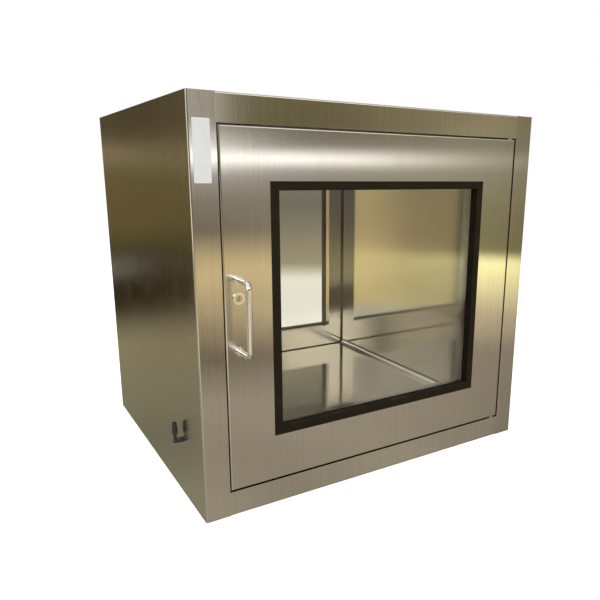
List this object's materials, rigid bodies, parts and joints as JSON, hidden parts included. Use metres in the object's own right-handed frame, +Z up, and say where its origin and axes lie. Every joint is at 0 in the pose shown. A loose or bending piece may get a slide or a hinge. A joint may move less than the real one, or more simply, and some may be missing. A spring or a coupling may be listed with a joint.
{
  "type": "cleanroom pass box",
  "caption": "Box-shaped stainless transfer hatch with a through chamber, a windowed hinged door on each side, pull handles, cam locks and a cable gland.",
  "frame": {"origin": "middle of the flat base, on the surface the box stands on", "axes": "+X to the right seen from the front door, +Y from the front door to the rear door, +Z up"},
  "size_m": [0.7041, 0.68, 0.66],
  "materials": {
    "brushed_stainless": "brushed, fine grain",
    "polished_stainless": "bright, near mirror",
    "plain_steel": "mill finish",
    "plated_steel": "zinc plated",
    "bright_chrome": "mirror",
    "brass_plug": "satin",
    "bronze": "plain",
    "magnet_body": "satin grey",
    "white_enamel": "gloss white",
    "white_plastic": "matt white",
    "lamp_glass": "clear quartz tube",
    "bare_aluminium": "satin",
    "dark_plastic": "fine texture",
    "cable_black": "smooth sheath",
    "black_nylon": "fine texture",
    "black_rubber": "matt",
    "clear_glass": "clear toughened"
  },
  "bodies": {
    "cabinet": {"left_side_panel": "brushed_stainless", "right_side_panel": "brushed_stainless", "top_panel": "brushed_stainless", "bottom_panel": "brushed_stainless", "top_panel_screws": "plated_steel", "front_pocket_frame": "brushed_stainless", "rear_pocket_frame": "brushed_stainless", "chamber_liner": "polished_stainless", "floor_channels": "plain_steel", "pivot_brackets": "plain_steel", "pivot_pins": "plated_steel", "lock_strikes": "plain_steel", "door_magnets": "magnet_body", "lamp_batten": "white_enamel", "lamp_holders": "white_plastic", "lamp_tube": "lamp_glass", "lamp_caps": "bare_aluminium", "lamp_ballast": "white_enamel", "interlock_controller": "dark_plastic", "wiring_loom": "cable_black", "gland_elbow": "black_nylon", "gland_locknut": "black_nylon", "gland_dome_nut": "black_nylon", "gland_sleeve": "black_rubber"},
    "front_door": {"front_door_skin": "brushed_stainless", "front_door_liner": "brushed_stainless", "front_window_frame": "brushed_stainless", "front_window_glass": "clear_glass", "front_window_gasket": "black_rubber", "front_glazing_tape": "black_rubber", "front_door_seal": "black_rubber", "front_pivot_blocks": "plain_steel", "front_pivot_bushes": "bronze", "front_handle": "bright_chrome", "front_handle_screws": "plated_steel", "front_lock_barrel": "bright_chrome", "front_lock_nut": "plated_steel", "front_armature_plate": "plated_steel", "front_armature_screw": "plated_steel"},
    "rear_door": {"rear_door_skin": "brushed_stainless", "rear_door_liner": "brushed_stainless", "rear_window_frame": "brushed_stainless", "rear_window_glass": "clear_glass", "rear_window_gasket": "black_rubber", "rear_glazing_tape": "black_rubber", "rear_door_seal": "black_rubber", "rear_pivot_blocks": "plain_steel", "rear_pivot_bushes": "bronze", "rear_handle": "bright_chrome", "rear_handle_screws": "plated_steel", "rear_lock_barrel": "bright_chrome", "rear_lock_nut": "plated_steel", "rear_armature_plate": "plated_steel", "rear_armature_screw": "plated_steel"},
    "front_lock": {"front_lock_plug": "brass_plug", "front_lock_cam": "plated_steel"},
    "rear_lock": {"rear_lock_plug": "brass_plug", "rear_lock_cam": "plated_steel"}
  },
  "joints": [
    {"name": "front_door_hinge", "type": "hinge", "parent": "cabinet", "child": "front_door", "pos_m": [0.291, -0.288, 0.33], "axis": [0, 0, 1], "range_deg": [0, 110]},
    {"name": "rear_door_hinge", "type": "hinge", "parent": "cabinet", "child": "rear_door", "pos_m": [-0.291, 0.288, 0.33], "axis": [0, 0, 1], "range_deg": [0, 110]},
    {"name": "front_lock_turn", "type": "hinge", "parent": "front_door", "child": "front_lock", "pos_m": [-0.278, -0.277, 0.362], "axis": [0, 1, 0], "range_deg": [0, 90]},
    {"name": "rear_lock_turn", "type": "hinge", "parent": "rear_door", "child": "rear_lock", "pos_m": [0.278, 0.277, 0.362], "axis": [0, -1, 0], "range_deg": [0, 90]}
  ]
}
